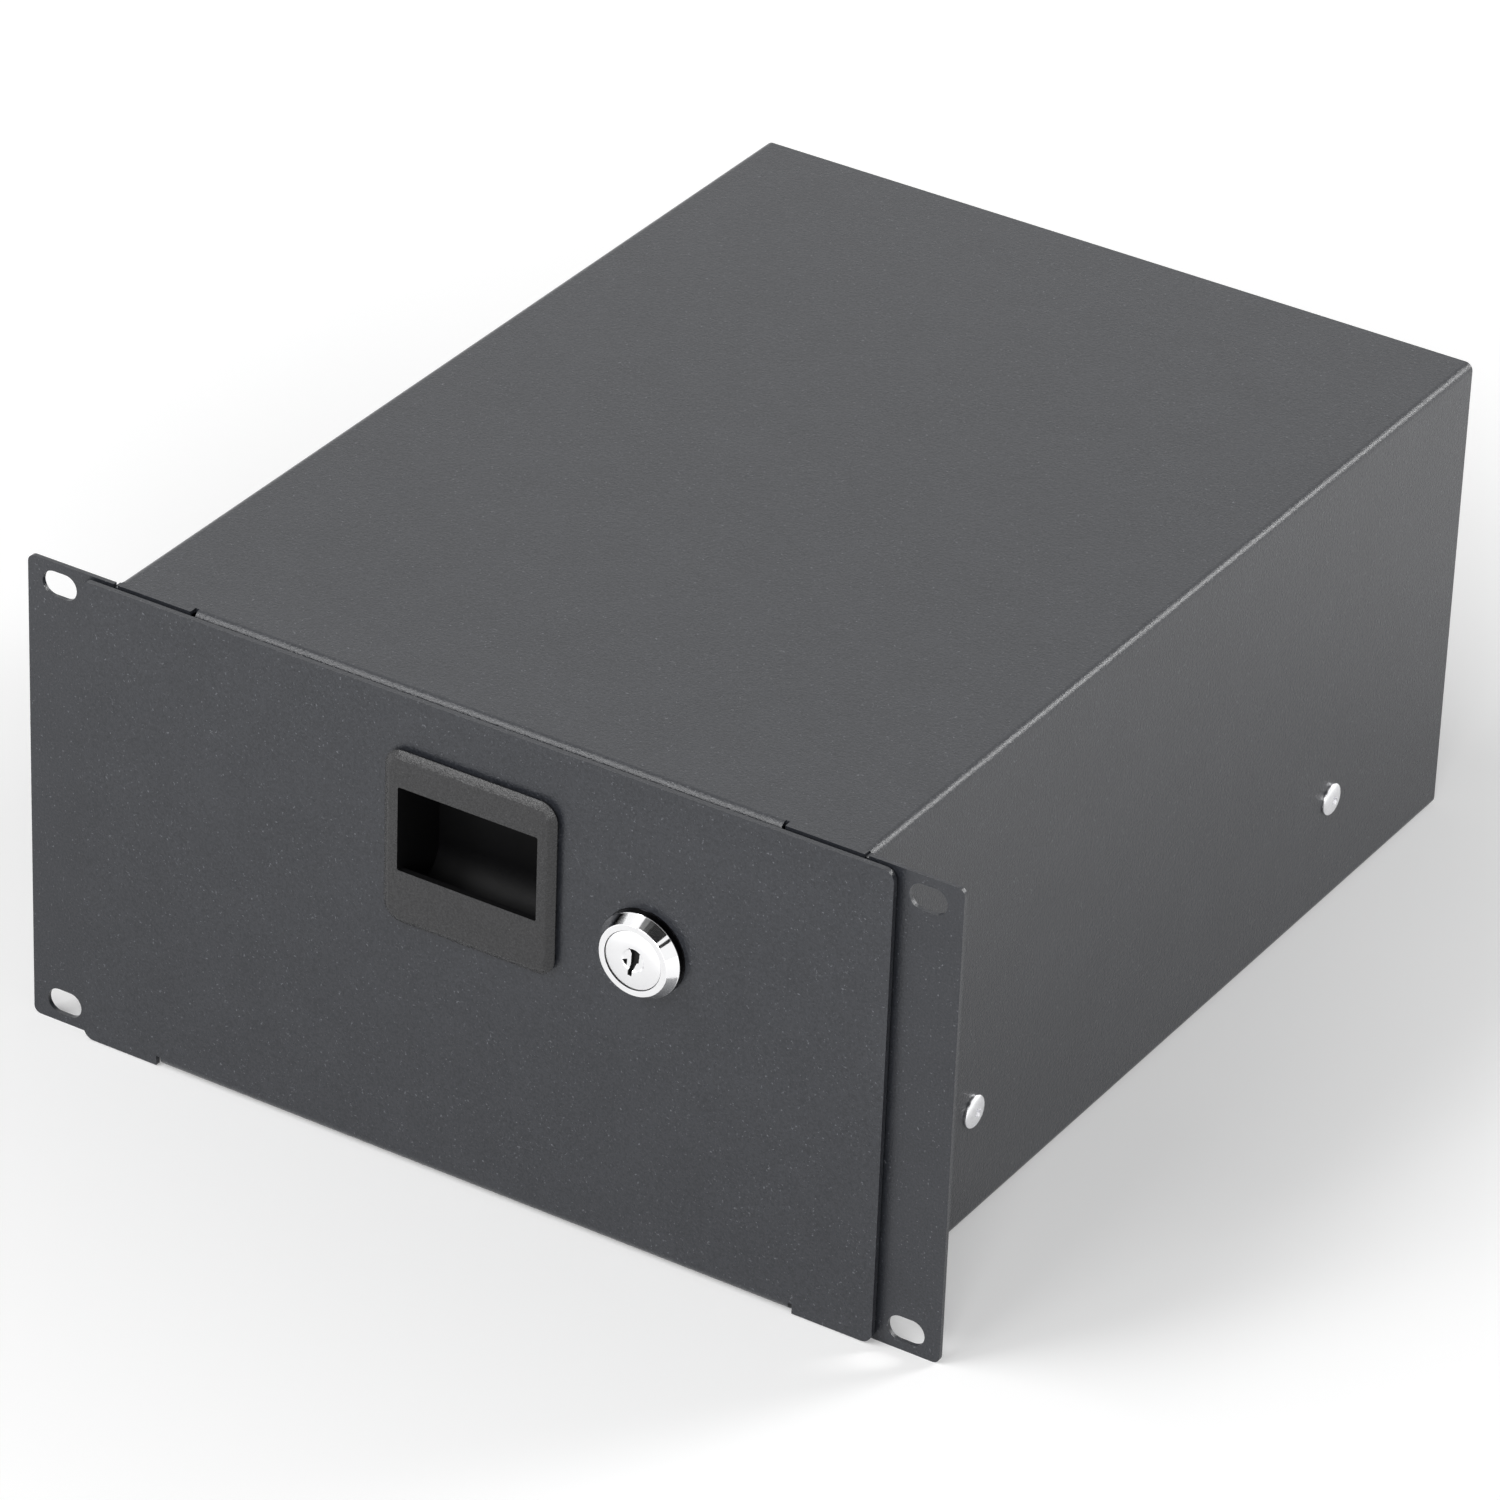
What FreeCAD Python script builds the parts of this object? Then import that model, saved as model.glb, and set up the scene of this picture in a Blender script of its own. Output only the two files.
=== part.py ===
import FreeCAD, Part
import math
import os

# Lockable sliding rack drawer, three rack units high, for a 10.5 inch wide rack.
# Millimetres. +X is to the right seen from the front, the drawer opens along -Y, +Z is up.
# The origin is the centre of the four rack slots, on the back face of the rack ears.

# Rack panel. The slots stand SLOT_TO_SPACE_LINE inside the outer lines of the rack spaces.
RACK_PITCH = 44.45
RACK_SPACES = 3
PANEL_GAP = 0.85
SLOT_TO_SPACE_LINE = 6.35
PANEL_WIDTH = 266.7
SLOT_TO_EDGE = 9.525
SLOT_LENGTH = 10.3
SLOT_WIDTH = 7.0
EAR_CORNER_RADIUS = 2.0

# Case, one folded sheet with an inset rear panel
EAR_REACH = 25.85
SLIDE_TO_CASE_BACK = 23.2
CASE_SHEET = 1.2
CASE_BEND = 1.0
SHARP_BEND = 0.0
BOTTOM_RETURN = 11.0
TOP_FLANGE_HEIGHT = 15.0
TOP_FLANGE_INSET = 24.0
RELIEF = 1.2
REAR_SHEET = 1.2
REAR_INSET = 1.0
REAR_FLANGE = 11.0

# Drawer tray, one folded sheet whose front plate covers the case mouth
TRAY_SHEET = 1.5
TRAY_BEND = 1.2
TRAY_TOP_ROOM = 28.0
TRAY_TO_CASE_BACK = 20.0
TRAY_RETURN = 6.0
TRAY_CORNER_FLANGE = 11.0
TRAY_CORNER_ROOM = 2.7
PLATE_LAP = 8.5
PLATE_EDGE_GAP = 0.25
PLATE_CORNER_RADIUS = 3.0
PLATE_GAP = 1.2

# Ball-bearing slides, three members a side
SLIDE_LENGTH = 250.0
SLIDE_HEIGHT = 45.7
SLIDE_THICKNESS = 12.7
SLIDE_FRONT = 20.8
SLIDE_CENTRE_HEIGHT = 32.1
OUTER_SHEET = 1.2
MIDDLE_SHEET = 1.2
INNER_SHEET = 1.0
RETAINER_SHEET = 0.5
MEMBER_GAP = 0.3
OUTER_BALL = 4.0
INNER_BALL = 3.0
BALL_GAP = 0.05
OUTER_LANE = 5.7
INNER_LANE = 8.6
OUTER_GROOVE = 0.45
INNER_GROOVE = 0.4
OUTER_LIP = 1.0
INNER_LIP = 0.8
INNER_FLANGE_REACH = 6.3
RETAINER_TIP = 1.0
RETAINER_END_GAP = 5.0
BALLS_PER_EDGE = 3
BALL_SIDES = 8
BALL_BANDS = 4
SLIDE_OVERLAP = 10.0
BUMPER_LENGTH = 4.0
BUMPER_HEIGHT = 18.0
BUMPER_REACH = 6.5
MIDDLE_END_GAP = 0.3
INNER_END_SETBACK = 3.0

# Slide fixings
CASE_SCREW_FRONT = 33.5
CASE_SCREW_REAR = 38.2
CASE_SCREW_HEAD = 8.8
CASE_SCREW_TOP = 5.2
CASE_SCREW_HEAD_HEIGHT = 1.5
SCREW_SHANK = 4.0
HOLE_GAP = 0.15
TRAY_SCREW_FRONT = 50.0
TRAY_SCREW_REAR = 50.0
TRAY_SCREW_HEAD = 8.0
TRAY_SCREW_TOP = 5.4
TRAY_SCREW_HEAD_HEIGHT = 2.0
TRAY_SCREW_LENGTH = 5.0
RECESS_WIDTH = 0.9
RECESS_SPAN = 3.6
RECESS_DEPTH = 1.0

# Finger pull, a moulded pocket behind a raised bezel
PULL_WIDTH = 49.3
PULL_HEIGHT = 48.0
PULL_DROP = 38.3
PULL_PROUD = 2.8
PULL_CORNER = 5.0
PULL_CHAMFER = 1.1
PULL_MOUTH_WIDTH = 40.0
PULL_MOUTH_HEIGHT = 23.2
PULL_MOUTH_RAISE = 2.9
PULL_DEPTH = 18.0
PULL_WALL = 1.8
PULL_LIP = 1.8
PULL_LIP_DROP = 9.5
PULL_RAMP_RADIUS = 9.0
PULL_GAP = 0.3
PULL_LUG = 1.2
PULL_LUG_LENGTH = 4.0
PULL_LUG_HEIGHT = 12.0

# Cam lock
LOCK_TO_TRAY_SIDE = 44.6
LOCK_DROP = 46.2
LOCK_BASE = 22.8
LOCK_FACE = 19.2
LOCK_PROUD = 5.2
LOCK_RIM = 2.2
LOCK_THREAD = 18.6
LOCK_FLATS = 16.0
LOCK_BARREL_LENGTH = 13.3
LOCK_HOLE_GAP = 0.2
LOCK_NUT_ACROSS = 24.0
LOCK_NUT_THICKNESS = 4.0
PLUG_FACE = 15.8
PLUG_FACE_THICKNESS = 1.6
PLUG_RECESS = 0.15
PLUG_SHAFT = 12.5
PLUG_GAP = 0.05
PLUG_SQUARE = 7.0
KEY_DISC = 6.2
KEY_DISC_DEPTH = 0.3
KEYWAY_DEPTH = 8.0
KEY_POCKET_DEPTH = 1.4
CAM_THICKNESS = 2.0
CAM_WIDTH = 12.0
CAM_CATCH = 6.8
CAM_HUB = 16.0
CAM_CRANK_START = 13.0
CAM_CRANK_END = 22.0
CAM_END_GAP = 0.2
CAM_CATCH_GAP = 0.8
STUD = 6.0
WASHER_DIAMETER = 12.0
WASHER_THICKNESS = 1.0
CAM_NUT_ACROSS = 10.0
CAM_NUT_THICKNESS = 5.0
STUD_STICK_OUT = 1.0

# Outlines of the key slot and the pocket beside it, in X and Z from the lock's axis
KEYWAY = [(-1.3, 3.1), (0.5, 3.0), (1.7, 2.2), (1.5, -0.3), (0.9, -0.7), (0.0, -2.8),
          (-0.3, -4.5), (-1.4, -4.3), (-1.3, -3.1), (-0.7, -1.3), (-0.6, 1.7), (-0.8, 2.1)]
KEY_POCKET = [(-3.0, -0.7), (-1.7, -0.2), (-1.9, -2.4)]

# Tolerance for picking edges by their place
NEAR = 0.01

# Places that follow from the sizes above
PANEL_HEIGHT = RACK_SPACES * RACK_PITCH - PANEL_GAP
SLOT_SPACING_X = PANEL_WIDTH - 2 * SLOT_TO_EDGE
SLOT_SPACING_Z = RACK_SPACES * RACK_PITCH - 2 * SLOT_TO_SPACE_LINE
BOTTOM = -PANEL_HEIGHT / 2
TOP = PANEL_HEIGHT / 2
CASE_WIDTH = PANEL_WIDTH - 2 * EAR_REACH
CASE_DEPTH = SLIDE_FRONT + SLIDE_LENGTH + SLIDE_TO_CASE_BACK
TRAVEL = SLIDE_LENGTH - SLIDE_OVERLAP
CASE_HALF = CASE_WIDTH / 2
CASE_IN = CASE_HALF - CASE_SHEET
EAR_FRONT = -CASE_SHEET
PLATE_BACK = EAR_FRONT - PLATE_GAP
PLATE_FRONT = PLATE_BACK - TRAY_SHEET
PLATE_BOTTOM = BOTTOM + PLATE_EDGE_GAP
PLATE_TOP = TOP - PLATE_EDGE_GAP
TRAY_HALF = CASE_IN - SLIDE_THICKNESS
PLATE_WIDTH = CASE_WIDTH + 2 * PLATE_LAP
TRAY_TOP = PLATE_TOP - TRAY_TOP_ROOM
TRAY_BACK = CASE_DEPTH - TRAY_TO_CASE_BACK
SLIDE_Z = BOTTOM + SLIDE_CENTRE_HEIGHT
MIDDLE_WEB = OUTER_SHEET + MEMBER_GAP + RETAINER_SHEET + MEMBER_GAP
OUTER_BALL_RISE = SLIDE_HEIGHT / 2 - OUTER_SHEET - OUTER_BALL / 2 - BALL_GAP
MIDDLE_TOP = OUTER_BALL_RISE - OUTER_BALL / 2 - BALL_GAP + OUTER_GROOVE
INNER_BALL_RISE = MIDDLE_TOP - MIDDLE_SHEET - INNER_BALL / 2 - BALL_GAP
INNER_TOP = INNER_BALL_RISE - INNER_BALL / 2 - BALL_GAP + INNER_GROOVE
MIDDLE_LENGTH = SLIDE_LENGTH - BUMPER_LENGTH - MIDDLE_END_GAP
LOCK_X = TRAY_HALF - LOCK_TO_TRAY_SIDE
LOCK_Z = TOP - LOCK_DROP
PULL_Z = TOP - PULL_DROP
CAM_REACH = LOCK_DROP - TOP_FLANGE_HEIGHT + CAM_CATCH
BARREL_END = PLATE_FRONT + LOCK_BARREL_LENGTH

# The retainers stand midway in the length that the members share when the drawer is open.
SHARED_LENGTH = SLIDE_LENGTH - TRAVEL / 2 - BUMPER_LENGTH
RETAINER_LENGTH = SHARED_LENGTH - 2 * RETAINER_END_GAP
RETAINER_FRONT = SLIDE_FRONT + TRAVEL / 4 + RETAINER_END_GAP

os.makedirs("parts", exist_ok=True)


def vec(x, y, z):
    return FreeCAD.Vector(x, y, z)


def in_xz(y):
    return lambda u, v: vec(u, y, v)


def in_xy(z):
    return lambda u, v: vec(u, v, z)


def in_yz(x):
    return lambda u, v: vec(x, u, v)


def sheet_profile(points, thickness, bends, place):
    """Face of a folded sheet seen on edge. points run along its mid-plane, and bends holds the
    inner bend radius of each inner point, or one radius for them all."""
    count = len(points)
    if not isinstance(bends, (list, tuple)):
        bends = [bends] * (count - 2)
    half = thickness / 2
    directions = []
    for a, b in zip(points, points[1:]):
        length = math.hypot(b[0] - a[0], b[1] - a[1])
        directions.append(((b[0] - a[0]) / length, (b[1] - a[1]) / length))

    def side(sign):
        def off(point, direction):
            return (point[0] - direction[1] * half * sign, point[1] + direction[0] * half * sign)

        edges = []
        start = off(points[0], directions[0])
        for i in range(1, count - 1):
            d1 = directions[i - 1]
            d2 = directions[i]
            turn = math.atan2(d1[0] * d2[1] - d1[1] * d2[0], d1[0] * d2[0] + d1[1] * d2[1])
            radius = bends[i - 1] + half
            reach = radius * math.tan(abs(turn) / 2)
            corner = points[i]
            begin = (corner[0] - d1[0] * reach, corner[1] - d1[1] * reach)
            end = (corner[0] + d2[0] * reach, corner[1] + d2[1] * reach)
            left = math.copysign(1.0, turn)
            centre = (begin[0] - d1[1] * radius * left, begin[1] + d1[0] * radius * left)
            away = math.hypot(corner[0] - centre[0], corner[1] - centre[1])
            arc = radius - left * sign * half
            middle = tuple(centre[k] + (corner[k] - centre[k]) / away * arc for k in (0, 1))
            begin = off(begin, d1)
            end = off(end, d2)
            edges.append(("line", start, begin))
            edges.append(("arc", begin, middle, end))
            start = end
        edges.append(("line", start, off(points[-1], directions[-1])))
        return edges

    def build(edge):
        if edge[0] == "line":
            return Part.makeLine(place(*edge[1]), place(*edge[2]))
        return Part.Arc(place(*edge[1]), place(*edge[2]), place(*edge[3])).toShape()

    left = side(1)
    right = side(-1)
    cap_end = ("line", left[-1][-1], right[-1][-1])
    cap_start = ("line", right[0][1], left[0][1])
    outline = left + [cap_end] + right + [cap_start]
    edges = [build(edge) for edge in outline if math.dist(edge[1], edge[-1]) > 1e-6]
    return Part.Face(Part.Wire(Part.__sortEdges__(edges)))


def box(x0, x1, y0, y1, z0, z1):
    low = vec(min(x0, x1), y0, z0)
    return Part.makeBox(abs(x1 - x0), y1 - y0, z1 - z0, low)


def cylinder(diameter, y0, y1, x, z):
    return Part.makeCylinder(diameter / 2, y1 - y0, vec(x, y0, z), vec(0, 1, 0))


def cross_pin(diameter, x0, x1, y, z):
    towards = vec(math.copysign(1, x1 - x0), 0, 0)
    return Part.makeCylinder(diameter / 2, abs(x1 - x0), vec(x0, y, z), towards)


def rounded_plate(width, height, radius, x, z, y0, y1):
    """Upright plate with rounded corners, centred on x and z."""
    plate = box(x - width / 2, x + width / 2, y0, y1, z - height / 2, z + height / 2)
    upright = [e for e in plate.Edges if abs(e.tangentAt(e.FirstParameter).y) > 1 - NEAR]
    return plate.makeFillet(radius, upright)


def obround(length, width, x, z, y0, y1):
    """Bar with half-round ends, lying along X."""
    reach = (length - width) / 2
    ends = [cylinder(width, y0, y1, x + end, z) for end in (-reach, reach)]
    middle = box(x - reach, x + reach, y0, y1, z - width / 2, z + width / 2)
    return fuse([middle] + ends)


def fuse(shapes):
    first = shapes[0]
    return first.fuse(shapes[1:]).removeSplitter()


def save(name, shape):
    solids = shape.Solids
    result = solids[0] if len(solids) == 1 else Part.makeCompound(solids)
    if not result.isValid():
        raise ValueError(name + " isn't a valid solid")
    result.exportStep("parts/" + name + ".step")
    print(name, len(solids), round(result.Volume, 1))


# Case

def case_screw_places():
    return [SLIDE_FRONT + CASE_SCREW_FRONT, SLIDE_FRONT + SLIDE_LENGTH - CASE_SCREW_REAR]


def rack_ear(side):
    """Ear folded outwards from the front edge of a case side, with its two rack slots. Over the
    relief at the top of the bend its flat runs on to the side of the case."""
    wall = side * (CASE_HALF - CASE_SHEET / 2)
    fold_end = CASE_BEND
    notch_top = TOP - CASE_SHEET - CASE_BEND
    outer = PANEL_WIDTH / 2
    path = [(wall, fold_end + CASE_SHEET), (wall, -CASE_SHEET / 2), (side * outer, -CASE_SHEET / 2)]
    bend = sheet_profile(path, CASE_SHEET, CASE_BEND, in_xy(BOTTOM)).extrude(vec(0, 0, notch_top - BOTTOM))
    flat = box(side * (CASE_HALF + CASE_BEND), side * outer, EAR_FRONT, 0, BOTTOM, TOP)
    tongue = box(side * CASE_HALF, side * (CASE_HALF + CASE_BEND), EAR_FRONT, 0, notch_top, TOP)
    ear = fuse([bend, flat, tongue])
    tips = [e for e in ear.Edges
            if abs(e.tangentAt(e.FirstParameter).y) > 1 - NEAR and abs(abs(e.CenterOfMass.x) - outer) < NEAR]
    ear = ear.makeFillet(EAR_CORNER_RADIUS, tips)
    for z in (-SLOT_SPACING_Z / 2, SLOT_SPACING_Z / 2):
        ear = ear.cut(obround(SLOT_LENGTH, SLOT_WIDTH, side * SLOT_SPACING_X / 2, z, EAR_FRONT, 0))
    return ear


def case_shell():
    half = CASE_SHEET / 2
    side = CASE_HALF - half
    tip = CASE_HALF - BOTTOM_RETURN
    path = [(-tip, BOTTOM + half), (-side, BOTTOM + half), (-side, TOP - half),
            (side, TOP - half), (side, BOTTOM + half), (tip, BOTTOM + half)]
    fold_end = CASE_BEND
    body = sheet_profile(path, CASE_SHEET, CASE_BEND, in_xz(fold_end))
    body = body.extrude(vec(0, CASE_DEPTH - fold_end, 0))
    # The top sheet runs on over the mouth and folds down into a flange between two plain tabs.
    front = [(fold_end + CASE_SHEET, TOP - half), (-half, TOP - half), (-half, TOP - TOP_FLANGE_HEIGHT)]
    flange_half = CASE_HALF - TOP_FLANGE_INSET
    flange = sheet_profile(front, CASE_SHEET, CASE_BEND, in_yz(-flange_half))
    flange = flange.extrude(vec(2 * flange_half, 0, 0))
    tab_end = CASE_HALF - RELIEF
    pieces = [body, flange]
    for s in (-1, 1):
        pieces.append(box(s * (flange_half + RELIEF), s * tab_end, EAR_FRONT, fold_end,
                          TOP - CASE_SHEET, TOP))
        pieces.append(rack_ear(s))
    shell = fuse(pieces)
    for y in case_screw_places():
        shell = shell.cut(cross_pin(SCREW_SHANK + 2 * HOLE_GAP, -CASE_WIDTH, CASE_WIDTH, y, SLIDE_Z))
    return shell


def rear_panel():
    """Pan that closes the back, its four flanges lying on the inside of the case."""
    half = REAR_SHEET / 2
    back = CASE_DEPTH - REAR_INSET - half
    tip = back + half - REAR_FLANGE
    side = CASE_IN - half
    low = BOTTOM + CASE_SHEET + half
    high = TOP - CASE_SHEET - half
    relief = CASE_BEND + CASE_SHEET + RELIEF
    across = sheet_profile([(-side, tip), (-side, back), (side, back), (side, tip)],
                           REAR_SHEET, SHARP_BEND, in_xy(low + relief))
    across = across.extrude(vec(0, 0, high - low - 2 * relief))
    upright = sheet_profile([(tip, low), (back, low), (back, high), (tip, high)],
                            REAR_SHEET, SHARP_BEND, in_yz(-side + relief))
    upright = upright.extrude(vec(2 * (side - relief), 0, 0))
    return fuse([across, upright])


# Slides. u is the distance from the case wall, v the height above the slide's centre line.

def on_side(side):
    def place(u, v, y):
        return vec(side * (CASE_IN - u), y, SLIDE_Z + v)
    return place


def channel(side, upper, sheet, bends, y0, length):
    """Channel that is the same above and below its centre line. upper runs from the web up."""
    lower = [(u, -v) for u, v in reversed(upper)]
    place = on_side(side)
    face = sheet_profile(lower + upper, sheet, list(reversed(bends)) + bends, lambda u, v: place(u, v, y0))
    return face.extrude(vec(0, length, 0))


def lane(side, u, rise, diameter):
    """Pair of rods that roll the ball grooves into a member."""
    rods = []
    for v in (-rise, rise):
        start = on_side(side)(u, v, SLIDE_FRONT)
        rods.append(Part.makeCylinder(diameter / 2, SLIDE_LENGTH, start, vec(0, 1, 0)))
    return rods


def slide_outer(side):
    half = OUTER_SHEET / 2
    high = SLIDE_HEIGHT / 2 - half
    race = OUTER_BALL / 2 + BALL_GAP
    lip = OUTER_LANE + race + half
    shape = channel(side, [(half, high), (lip, high), (lip, OUTER_BALL_RISE - OUTER_LIP)],
                    OUTER_SHEET, [SHARP_BEND, race], SLIDE_FRONT, SLIDE_LENGTH)
    for y in case_screw_places():
        shape = shape.cut(cross_pin(SCREW_SHANK, side * CASE_WIDTH, side * TRAY_HALF, y, SLIDE_Z))
    return shape


def slide_middle(side):
    half = MIDDLE_SHEET / 2
    high = MIDDLE_TOP - half
    race = INNER_BALL / 2 + BALL_GAP
    lip = INNER_LANE + race + half
    shape = channel(side, [(MIDDLE_WEB + half, high), (lip, high), (lip, INNER_BALL_RISE - INNER_LIP)],
                    MIDDLE_SHEET, [SHARP_BEND, race], SLIDE_FRONT, MIDDLE_LENGTH)
    return shape.cut(lane(side, OUTER_LANE, OUTER_BALL_RISE, OUTER_BALL + 2 * BALL_GAP))


def slide_inner(side):
    half = INNER_SHEET / 2
    high = INNER_TOP - half
    web = SLIDE_THICKNESS - half
    length = MIDDLE_LENGTH - INNER_END_SETBACK
    shape = channel(side, [(web, high), (INNER_FLANGE_REACH, high)],
                    INNER_SHEET, [SHARP_BEND], SLIDE_FRONT, length)
    shape = shape.cut(lane(side, INNER_LANE, INNER_BALL_RISE, INNER_BALL + 2 * BALL_GAP))
    for y in tray_screw_places():
        shape = shape.cut(cross_pin(SCREW_SHANK, side * CASE_WIDTH, side * LOCK_X, y, SLIDE_Z))
    return shape


def ball_places():
    pitch = RETAINER_LENGTH / BALLS_PER_EDGE
    return [RETAINER_FRONT + pitch * (i + 0.5) for i in range(BALLS_PER_EDGE)]


def retainer(side, web, rise, lane_u, size):
    """Thin strip folded over both ball lanes, with an open pocket for each ball of that size."""
    half = RETAINER_SHEET / 2
    tip = lane_u + RETAINER_TIP
    shape = channel(side, [(web + half, rise), (tip, rise)],
                    RETAINER_SHEET, [SHARP_BEND], RETAINER_FRONT, RETAINER_LENGTH)
    reach = size / 2 + BALL_GAP
    near = on_side(side)(lane_u - reach, 0, 0).x
    far = on_side(side)(lane_u + reach, 0, 0).x
    low = SLIDE_Z - SLIDE_HEIGHT / 2
    for y in ball_places():
        shape = shape.cut(box(near, far, y - reach, y + reach, low, low + SLIDE_HEIGHT))
    return shape


def ball(centre, size):
    """Steel ball with few faces, its poles up and down, where it rolls in the grooves."""
    rings = []
    for band in range(BALL_BANDS + 1):
        slope = math.pi * band / BALL_BANDS - math.pi / 2
        reach = size / 2 * math.cos(slope)
        rise = size / 2 * math.sin(slope)
        turns = [2 * math.pi * i / BALL_SIDES for i in range(BALL_SIDES + 1)]
        rings.append([centre + vec(reach * math.cos(t), reach * math.sin(t), rise) for t in turns])
    faces = []
    for band, (low, high) in enumerate(zip(rings, rings[1:])):
        for i in range(BALL_SIDES):
            corners = [low[i], low[i + 1], high[i + 1], high[i]]
            if band == 0:
                corners = [low[i], high[i + 1], high[i]]
            elif band == BALL_BANDS - 1:
                corners = [low[i], low[i + 1], high[i]]
            faces.append(Part.Face(Part.makePolygon(corners + corners[:1])))
    return Part.Solid(Part.Shell(faces))


def balls(side, rise, lane_u, size):
    places = [on_side(side)(lane_u, v, y) for y in ball_places() for v in (-rise, rise)]
    return Part.makeCompound([ball(place, size) for place in places])


def outer_retainer(side):
    return retainer(side, OUTER_SHEET + MEMBER_GAP, OUTER_BALL_RISE, OUTER_LANE, OUTER_BALL)


def inner_retainer(side):
    return retainer(side, MIDDLE_WEB + MIDDLE_SHEET + MEMBER_GAP, INNER_BALL_RISE, INNER_LANE, INNER_BALL)


def outer_balls(side):
    return balls(side, OUTER_BALL_RISE, OUTER_LANE, OUTER_BALL)


def inner_balls(side):
    return balls(side, INNER_BALL_RISE, INNER_LANE, INNER_BALL)


def slide_bumper(side):
    """Rubber block in the rear end of the outer member, which the middle member closes against."""
    place = on_side(side)
    near = place(OUTER_SHEET, 0, 0).x
    far = place(OUTER_SHEET + BUMPER_REACH, 0, 0).x
    end = SLIDE_FRONT + SLIDE_LENGTH
    half = BUMPER_HEIGHT / 2
    return box(near, far, end - BUMPER_LENGTH, end, SLIDE_Z - half, SLIDE_Z + half)


# Screws

def cross_recess(x, y, z, depth):
    """Cross-shaped recess sunk from x towards the shank."""
    span = RECESS_SPAN / 2
    width = RECESS_WIDTH / 2
    wide = box(x, x + depth, y - span, y + span, z - width, z + width)
    tall = box(x, x + depth, y - width, y + width, z - span, z + span)
    return wide.fuse(tall)


def screw(seat, out, y, head, top, height, length):
    """Low tapered screw along X on the slide's centre line. seat is the face under its head, and
    out is +1 or -1 towards the head."""
    head = Part.makeCone(head / 2, top / 2, height, vec(seat, y, SLIDE_Z), vec(out, 0, 0))
    shank = cross_pin(SCREW_SHANK, seat, seat - out * length, y, SLIDE_Z)
    recess = cross_recess(seat + out * height, y, SLIDE_Z, -out * RECESS_DEPTH)
    return head.fuse(shank).cut(recess).removeSplitter()


def case_slide_screws():
    grip = CASE_SHEET + OUTER_SHEET
    screws = []
    for side in (-1, 1):
        for y in case_screw_places():
            screws.append(screw(side * CASE_HALF, side, y,
                                CASE_SCREW_HEAD, CASE_SCREW_TOP, CASE_SCREW_HEAD_HEIGHT, grip))
    return Part.makeCompound(screws)


def tray_screw_places():
    return [SLIDE_FRONT + TRAY_SCREW_FRONT, SLIDE_FRONT + SLIDE_LENGTH - TRAY_SCREW_REAR]


def tray_slide_screws():
    screws = []
    for side in (-1, 1):
        for y in tray_screw_places():
            screws.append(screw(side * (TRAY_HALF - TRAY_SHEET), -side, y,
                                TRAY_SCREW_HEAD, TRAY_SCREW_TOP, TRAY_SCREW_HEAD_HEIGHT, TRAY_SCREW_LENGTH))
    return Part.makeCompound(screws)


# Drawer

def drawer_tray():
    """Front plate, floor, two sides and back, folded from one sheet with relieved corners."""
    half = TRAY_SHEET / 2
    floor = PLATE_BOTTOM + half
    wall = TRAY_HALF - half
    fold = TRAY_SHEET + TRAY_BEND
    front = PLATE_BACK + fold + RELIEF
    rear = TRAY_BACK - TRAY_SHEET - fold - RELIEF
    rim = TRAY_TOP - half
    rim_tip = TRAY_HALF - TRAY_RETURN
    section = [(-rim_tip, rim), (-wall, rim), (-wall, floor), (wall, floor), (wall, rim), (rim_tip, rim)]
    trough = sheet_profile(section, TRAY_SHEET, TRAY_BEND, in_xz(front)).extrude(vec(0, rear - front, 0))

    tongue_half = TRAY_HALF - RELIEF
    plate_mid = PLATE_FRONT + half
    back_mid = TRAY_BACK - half
    low = PLATE_BOTTOM + fold + TRAY_CORNER_ROOM
    lengthwise = [(plate_mid, low), (plate_mid, floor), (back_mid, floor), (back_mid, TRAY_TOP)]
    tongue = sheet_profile(lengthwise, TRAY_SHEET, TRAY_BEND, in_yz(-tongue_half))
    tongue = tongue.extrude(vec(2 * tongue_half, 0, 0))

    plate_height = PLATE_TOP - PLATE_BOTTOM
    plate = rounded_plate(PLATE_WIDTH, plate_height, PLATE_CORNER_RADIUS, 0, 0, PLATE_FRONT, PLATE_BACK)
    fold_room = box(-TRAY_HALF, TRAY_HALF, PLATE_FRONT, PLATE_BACK, PLATE_BOTTOM, PLATE_BOTTOM + fold)
    plate = plate.cut(fold_room)

    shapes = [trough, tongue, plate]
    tip = TRAY_HALF - TRAY_CORNER_FLANGE
    front_mid = PLATE_BACK + half
    rear_mid = TRAY_BACK - TRAY_SHEET - half
    high = TRAY_TOP - fold - RELIEF
    for side in (-1, 1):
        path = [(side * tip, front_mid), (side * wall, front_mid),
                (side * wall, rear_mid), (side * tip, rear_mid)]
        strip = sheet_profile(path, TRAY_SHEET, SHARP_BEND, in_xy(low)).extrude(vec(0, 0, high - low))
        shapes.append(strip)
    tray = fuse(shapes)

    tray = tray.cut(pull_outline(PULL_GAP, PLATE_FRONT - TRAY_SHEET, PLATE_BACK + TRAY_SHEET))
    tray = tray.cut(lock_barrel(LOCK_HOLE_GAP, PLATE_FRONT - TRAY_SHEET, PLATE_BACK + TRAY_SHEET))
    for y in tray_screw_places():
        tray = tray.cut(cross_pin(SCREW_SHANK + 2 * HOLE_GAP, -CASE_WIDTH, CASE_WIDTH, y, SLIDE_Z))
    return tray


# Finger pull

def mouth_top():
    return PULL_Z + PULL_MOUTH_RAISE + PULL_MOUTH_HEIGHT / 2


def mouth_bottom():
    return PULL_Z + PULL_MOUTH_RAISE - PULL_MOUTH_HEIGHT / 2


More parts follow.
